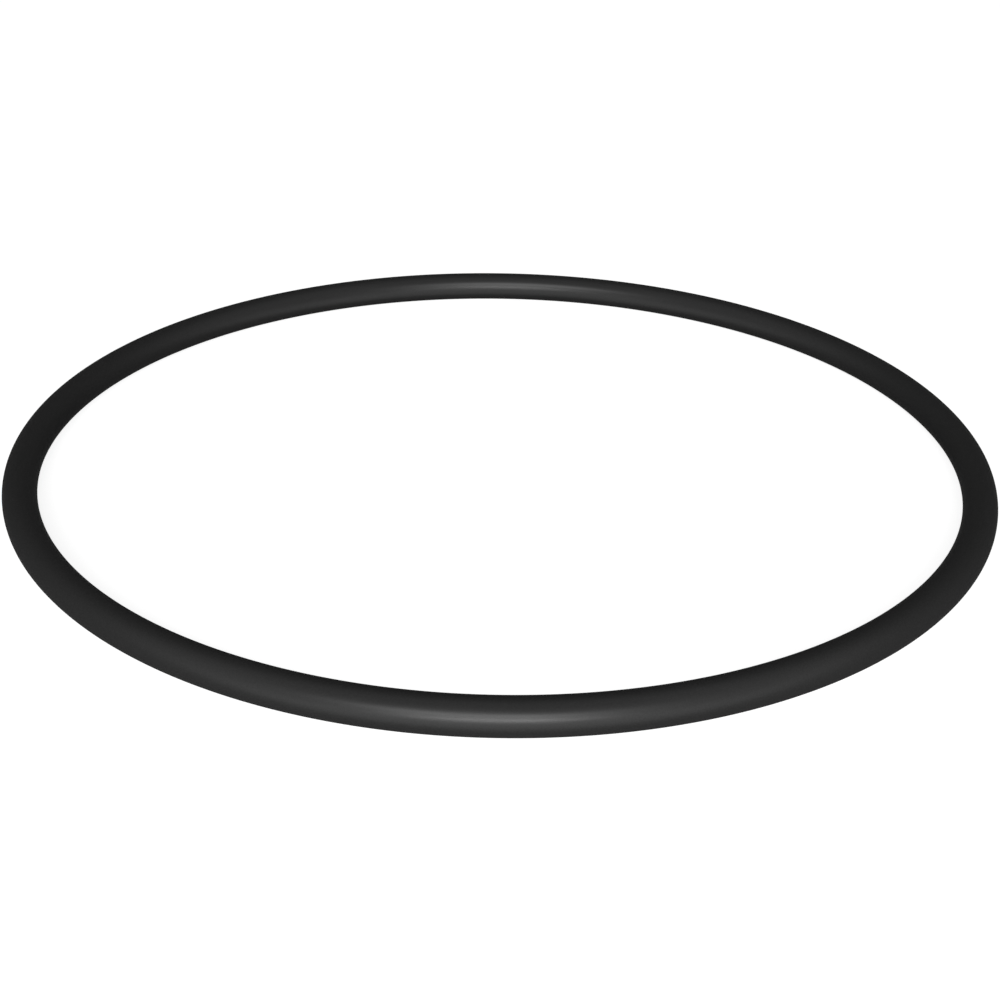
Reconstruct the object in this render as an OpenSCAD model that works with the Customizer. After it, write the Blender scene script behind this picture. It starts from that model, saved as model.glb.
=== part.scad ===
// Rubber o-ring: one moulded ring with a solid round section, lying flat.
// Millimetres, +Z up. The origin is the centre of the ring, on its axis and in the middle plane
// of its section, so the ring lies half above that plane and half below it.

/* [Ring] */
// Inside diameter of the relaxed ring, across the hole
inside_d = 84; // [12:0.5:250]
// Section diameter, which is the thickness of the rubber cord all the way round
section_d = 3; // [1:0.1:8]

/* [Hidden] */

// Radius of the circle that the middle of the section follows
centre_r = (inside_d + section_d) / 2;

// Sides of the drawn section, and steps once round the ring
section_sides = 64;
ring_steps = 256;

rubber_black = [0.09, 0.09, 0.09];

// The section as moulded: a full circle, beside the axis
module section() {
    translate([centre_r, 0])
        circle(d = section_d, $fn = section_sides);
}

// The ring: the section turned once about the axis
module o_ring() {
    color(rubber_black)
        rotate_extrude($fn = ring_steps)
            section();
}

o_ring();
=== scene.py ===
"""Rubber o-ring lying on a white floor: the finish of the rubber, the light and the camera. Metres."""

import math

import bmesh
import bpy
from mathutils import Matrix, Vector

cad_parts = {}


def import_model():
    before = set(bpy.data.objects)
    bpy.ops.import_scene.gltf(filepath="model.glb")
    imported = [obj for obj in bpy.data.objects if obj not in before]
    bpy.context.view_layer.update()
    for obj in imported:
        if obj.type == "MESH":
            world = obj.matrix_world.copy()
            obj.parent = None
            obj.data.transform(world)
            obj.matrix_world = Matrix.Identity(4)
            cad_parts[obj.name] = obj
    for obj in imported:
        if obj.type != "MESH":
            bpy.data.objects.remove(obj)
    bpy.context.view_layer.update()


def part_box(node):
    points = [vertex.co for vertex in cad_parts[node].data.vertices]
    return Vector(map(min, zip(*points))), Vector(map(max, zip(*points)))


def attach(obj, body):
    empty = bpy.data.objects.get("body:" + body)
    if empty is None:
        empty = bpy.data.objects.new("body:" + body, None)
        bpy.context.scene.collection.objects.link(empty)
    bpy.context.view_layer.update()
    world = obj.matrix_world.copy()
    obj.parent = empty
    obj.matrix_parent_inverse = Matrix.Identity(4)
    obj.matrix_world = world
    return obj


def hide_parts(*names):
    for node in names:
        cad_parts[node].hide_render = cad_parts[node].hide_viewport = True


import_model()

MM = 0.001

# Steps of the ring's mesh: once round the ring, and once round its section
RING_STEPS = 720
SECTION_STEPS = 64
# The ring's UV map: strips of the ring, one above another, with a margin round each
MAP_STRIPS = 5
MAP_MARGIN = 0.012
MAP_WIDTH = 1 - 2 * MAP_MARGIN

# Rubber: how light it is, how much it shines, and how soft that shine is
RUBBER_COLOUR = 0.0255
RUBBER_SPECULAR = 0.24
RUBBER_ROUGHNESS = 0.375
# The shine spreads and fades as the surface turns away. Start and ends are on Layer Weight's facing scale,
# which at this blend is one minus the cosine of the angle that the surface has turned by.
FACING_BLEND = 0.5
TURN_START = 0.04
SPREAD_END = 0.36
SPREAD_ROUGHNESS = 1.0
FADE_END = 0.4
FULL_TINT = 1.0
FADED_TINT = 0.0
# Patches about 8 mm across shift the roughness. A grain of about 0.1 mm shifts the shade and the height.
PATCH_SCALE = 120.0
PATCH_DETAIL = 3.0
PATCH_SHIFT = 0.015
GRAIN_SCALE = 9000.0
GRAIN_DETAIL = 2.0
GRAIN_SHIFT = 0.11
GRAIN_HEIGHT = 0.004 * MM
GRAIN_STRENGTH = 0.22
# The part of a noise's range that nearly all of it lies in
NOISE_LOW = 0.3
NOISE_HIGH = 0.7

# Camera: where it stands as seen from the ring's centre, how it is turned there, its sensor and lens in
# millimetres, and the nearest and farthest that it sees
CAMERA_DISTANCE = 148.87 * MM
CAMERA_ELEVATION = math.radians(25.619)
CAMERA_DROP = math.radians(1.967)
CAMERA_ROLL = math.radians(1.036)
SENSOR = 36.0
LENS = 57.15
CLIP_NEAR = 5 * MM
CLIP_FAR = 100.0

# Floor: half its width, its own colour, and the glow that the camera and reflections see with it
FLOOR_HALF = 20.0
FLOOR_COLOUR = 0.4
FLOOR_GLOW = 0.88

# World: white up to one height and dim from another, both as the sine of the angle above the horizon
WHITE = 1.0
WHITE_TO = 0.045
DIM_FROM = 0.09
DIM = 0.015


def ring_sizes():
    """Radius of the circle that the section turns on, radius of the section, and height of that circle."""
    low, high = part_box("o_ring")
    section_r = (high.z - low.z) / 2
    reach = min(high.x, -low.x, high.y, -low.y)
    return reach - section_r, section_r, (high.z + low.z) / 2


def section_corners(bm, turn, sizes):
    """The corners round the section at one turn round Z, from its lowest point on."""
    centre_r, section_r, middle_z = sizes
    corners = []
    for j in range(SECTION_STEPS):
        angle = math.tau * j / SECTION_STEPS - math.pi / 2
        radius = centre_r + section_r * math.cos(angle)
        height = middle_z + section_r * math.sin(angle)
        corners.append(bm.verts.new((radius * math.cos(turn), radius * math.sin(turn), height)))
    return corners


def map_place(i, j, strip, height):
    """Where the corner at step i round the ring and step j round the section lies in the map."""
    along = i * MAP_STRIPS / RING_STEPS - strip
    across = j / SECTION_STEPS
    bottom = MAP_MARGIN + strip * (1 - MAP_MARGIN) / MAP_STRIPS
    return MAP_MARGIN + MAP_WIDTH * along, bottom + height * across


def ring_mesh():
    """A torus: the section turned once round Z. The map's long seam is underneath."""
    sizes = ring_sizes()
    centre_r, section_r, _ = sizes
    # each strip is as high as keeps the surface's proportions in the map
    strip_height = MAP_WIDTH * MAP_STRIPS * section_r / centre_r
    bm = bmesh.new()
    layer = bm.loops.layers.uv.new("OFBake")
    rows = [section_corners(bm, math.tau * i / RING_STEPS, sizes) for i in range(RING_STEPS)]
    for i in range(RING_STEPS):
        strip = i * MAP_STRIPS // RING_STEPS
        for j in range(SECTION_STEPS):
            steps = ((i, j), (i + 1, j), (i + 1, j + 1), (i, j + 1))
            face = bm.faces.new([rows[a % RING_STEPS][b % SECTION_STEPS] for a, b in steps])
            face.smooth = True
            for corner, (a, b) in zip(face.loops, steps):
                corner[layer].uv = map_place(a, b, strip, strip_height)
    mesh = bpy.data.meshes.new("moulded_ring")
    bm.to_mesh(mesh)
    bm.free()
    return mesh


def noise(tree, place, scale, detail):
    """Noise fixed to the ring, with about scale cells to the metre."""
    tex = tree.nodes.new("ShaderNodeTexNoise")
    tex.inputs["Scale"].default_value = scale
    tex.inputs["Detail"].default_value = detail
    tree.links.new(place.outputs["Object"], tex.inputs["Vector"])
    return tex.outputs["Fac"]


def around(tree, middle, shift, fac):
    """Values from middle - shift to middle + shift, as the noise goes from low to high."""
    span = tree.nodes.new("ShaderNodeMapRange")
    span.inputs["From Min"].default_value = NOISE_LOW
    span.inputs["From Max"].default_value = NOISE_HIGH
    span.inputs["To Min"].default_value = middle - shift
    span.inputs["To Max"].default_value = middle + shift
    tree.links.new(fac, span.inputs["Value"])
    return span.outputs["Result"]


def turning(tree, weight, end, value):
    """A smooth ramp that reaches value where the surface has turned away as far as end."""
    ramp = tree.nodes.new("ShaderNodeMapRange")
    ramp.interpolation_type = "SMOOTHSTEP"
    ramp.inputs["From Min"].default_value = TURN_START
    ramp.inputs["From Max"].default_value = end
    ramp.inputs["To Max"].default_value = value
    tree.links.new(weight.outputs["Facing"], ramp.inputs["Value"])
    return ramp


def shade(tree, shader, grain):
    """Black that is a little lighter and darker with the grain."""
    colour = tree.nodes.new("ShaderNodeCombineColor")
    value = around(tree, RUBBER_COLOUR, RUBBER_COLOUR * GRAIN_SHIFT, grain)
    for channel in ("Red", "Green", "Blue"):
        tree.links.new(value, colour.inputs[channel])
    tree.links.new(colour.outputs["Color"], shader.inputs["Base Color"])


def shine(tree, shader, patches):
    """A satin shine, patchy in its roughness, that spreads and fades as the surface turns away."""
    shader.inputs["Specular IOR Level"].default_value = RUBBER_SPECULAR
    weight = tree.nodes.new("ShaderNodeLayerWeight")
    weight.inputs["Blend"].default_value = FACING_BLEND
    spreading = turning(tree, weight, SPREAD_END, SPREAD_ROUGHNESS)
    tree.links.new(around(tree, RUBBER_ROUGHNESS, PATCH_SHIFT, patches), spreading.inputs["To Min"])
    tree.links.new(spreading.outputs["Result"], shader.inputs["Roughness"])
    fading = turning(tree, weight, FADE_END, FADED_TINT)
    fading.inputs["To Min"].default_value = FULL_TINT
    tree.links.new(fading.outputs["Result"], shader.inputs["Specular Tint"])


def relief(tree, shader, grain):
    """The grain's height, as bump."""
    bump = tree.nodes.new("ShaderNodeBump")
    bump.inputs["Strength"].default_value = GRAIN_STRENGTH
    bump.inputs["Distance"].default_value = GRAIN_HEIGHT
    tree.links.new(grain, bump.inputs["Height"])
    tree.links.new(bump.outputs["Normal"], shader.inputs["Normal"])


def rubber():
    """Black moulded rubber: satin, with a fine grain and faint patches in its shine."""
    mat = bpy.data.materials.new("rubber")
    mat.use_nodes = True
    tree = mat.node_tree
    shader = tree.nodes["Principled BSDF"]
    place = tree.nodes.new("ShaderNodeTexCoord")
    patches = noise(tree, place, PATCH_SCALE, PATCH_DETAIL)
    grain = noise(tree, place, GRAIN_SCALE, GRAIN_DETAIL)
    shade(tree, shader, grain)
    shine(tree, shader, patches)
    relief(tree, shader, grain)
    return mat


def ring():
    """The ring that stands for the CAD node."""
    obj = bpy.data.objects.new("moulded_ring", ring_mesh())
    bpy.context.scene.collection.objects.link(obj)
    obj.data.materials.append(rubber())
    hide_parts("o_ring")
    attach(obj, "root")


def seen_or_mirrored(tree):
    """One where the camera sees the floor, straight, mirrored or through glass, and nought elsewhere."""
    path = tree.nodes.new("ShaderNodeLightPath")
    seen = path.outputs["Is Camera Ray"]
    for ray in ("Is Glossy Ray", "Is Transmission Ray"):
        either = tree.nodes.new("ShaderNodeMath")
        either.operation = "MAXIMUM"
        tree.links.new(seen, either.inputs[0])
        tree.links.new(path.outputs[ray], either.inputs[1])
        seen = either.outputs[0]
    return seen


def floor_material():
    """Paper that takes the ring's shadow. A glow makes it white to the camera and in reflections."""
    mat = bpy.data.materials.new("white_floor")
    mat.use_nodes = True
    tree = mat.node_tree
    tree.nodes.clear()
    out = tree.nodes.new("ShaderNodeOutputMaterial")
    paper = tree.nodes.new("ShaderNodeBsdfDiffuse")
    paper.inputs["Color"].default_value = (FLOOR_COLOUR,) * 3 + (1.0,)
    strength = tree.nodes.new("ShaderNodeMath")
    strength.operation = "MULTIPLY"
    strength.inputs[1].default_value = FLOOR_GLOW
    tree.links.new(seen_or_mirrored(tree), strength.inputs[0])
    glow = tree.nodes.new("ShaderNodeEmission")
    tree.links.new(strength.outputs[0], glow.inputs["Strength"])
    both = tree.nodes.new("ShaderNodeAddShader")
    tree.links.new(paper.outputs[0], both.inputs[0])
    tree.links.new(glow.outputs[0], both.inputs[1])
    tree.links.new(both.outputs[0], out.inputs["Surface"])
    return mat


def floor():
    """A wide plain floor at the height where the ring rests."""
    low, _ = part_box("o_ring")
    half = FLOOR_HALF
    corners = [(-half, -half, low.z), (half, -half, low.z), (half, half, low.z), (-half, half, low.z)]
    mesh = bpy.data.meshes.new("floor")
    mesh.from_pydata(corners, [], [(0, 1, 2, 3)])
    mesh.materials.append(floor_material())
    obj = bpy.data.objects.new("floor", mesh)
    bpy.context.scene.collection.objects.link(obj)


def towards(azimuth, elevation):
    """The direction from the ring's centre, in degrees: azimuth 0 is the camera's side and 90 is +X."""
    a = math.radians(azimuth)
    e = math.radians(elevation)
    return Vector((math.sin(a) * math.cos(e), -math.cos(a) * math.cos(e), math.sin(e)))


def place_lamp(data, direction, distance):
    """Puts a lamp out along direction, aimed at the ring's centre and unseen by the camera."""
    obj = bpy.data.objects.new(data.name, data)
    obj.location = direction * distance
    obj.rotation_mode = "QUATERNION"
    obj.rotation_quaternion = direction.to_track_quat("Z", "Y")
    obj.visible_camera = False
    bpy.context.scene.collection.objects.link(obj)


def softbox(name, azimuth, elevation, distance, width, height, light):
    """A rectangular lamp. For both kinds of lamp, light is what a white face square to it gives back."""
    data = bpy.data.lights.new(name, "AREA")
    data.shape = "RECTANGLE"
    data.size = width
    data.size_y = height
    # a lamp of radiance L and area A sends L * pi * A watts, and lights a far face by L * A / distance ** 2
    data.energy = light * math.pi * math.pi * distance ** 2
    place_lamp(data, towards(azimuth, elevation), distance)


def far_lamp(name, azimuth, elevation, width, light):
    """A round soft lamp, width degrees across and far away, which lights the whole floor evenly."""
    data = bpy.data.lights.new(name, "SUN")
    data.angle = math.radians(width)
    data.energy = light * math.pi
    # a sun lamp's distance makes no difference to its light
    place_lamp(data, towards(azimuth, elevation), distance=1.0)


def lamps():
    """Two softboxes on the camera's side, and weak lamps that show the form from the sides and behind."""
    softbox("low_front", azimuth=0.0, elevation=12.5, distance=0.35, width=0.17, height=0.05, light=0.62)
    softbox("high_front", azimuth=-4.0, elevation=37.0, distance=100.0, width=66.0, height=12.0, light=0.56)
    far_lamp("back", azimuth=180.0, elevation=12.0, width=20.0, light=0.12)
    far_lamp("left", azimuth=-100.0, elevation=10.0, width=20.0, light=0.03)
    far_lamp("right", azimuth=100.0, elevation=10.0, width=20.0, light=0.03)


def world():
    """White up to just above the horizon, and dim all round above that."""
    studio = bpy.data.worlds.new("studio")
    bpy.context.scene.world = studio
    studio.use_nodes = True
    tree = studio.node_tree
    place = tree.nodes.new("ShaderNodeTexCoord")
    split = tree.nodes.new("ShaderNodeSeparateXYZ")
    tree.links.new(place.outputs["Generated"], split.inputs["Vector"])
    ramp = tree.nodes.new("ShaderNodeMapRange")
    ramp.interpolation_type = "SMOOTHSTEP"
    ramp.inputs["From Min"].default_value = WHITE_TO
    ramp.inputs["From Max"].default_value = DIM_FROM
    ramp.inputs["To Min"].default_value = WHITE
    ramp.inputs["To Max"].default_value = DIM
    tree.links.new(split.outputs["Z"], ramp.inputs["Value"])
    background = tree.nodes["Background"]
    background.inputs["Strength"].default_value = 1.0
    tree.links.new(ramp.outputs["Result"], background.inputs["Color"])


def camera():
    """The photograph's camera: in front of the ring and above it, tipped down and rolled a little."""
    rise = math.sin(CAMERA_ELEVATION)
    run = math.cos(CAMERA_ELEVATION)
    to_centre = Vector((0.0, run, -rise))
    up = Vector((0.0, rise, run))
    right = Vector((1.0, 0.0, 0.0))
    forward = math.cos(CAMERA_DROP) * to_centre - math.sin(CAMERA_DROP) * up
    up = math.cos(CAMERA_DROP) * up + math.sin(CAMERA_DROP) * to_centre
    c = math.cos(CAMERA_ROLL)
    s = math.sin(CAMERA_ROLL)
    right, up = c * right + s * up, c * up - s * right
    data = bpy.data.cameras.new("camera")
    data.sensor_width = SENSOR
    data.lens = LENS
    data.clip_start = CLIP_NEAR
    data.clip_end = CLIP_FAR
    obj = bpy.data.objects.new("camera", data)
    bpy.context.scene.collection.objects.link(obj)
    turn = Matrix((right, up, -forward)).transposed()
    obj.matrix_world = Matrix.Translation(-to_centre * CAMERA_DISTANCE) @ turn.to_4x4()
    bpy.context.scene.camera = obj


camera()
ring()
floor()
lamps()
world()
bpy.context.scene.view_settings.view_transform = "Standard"
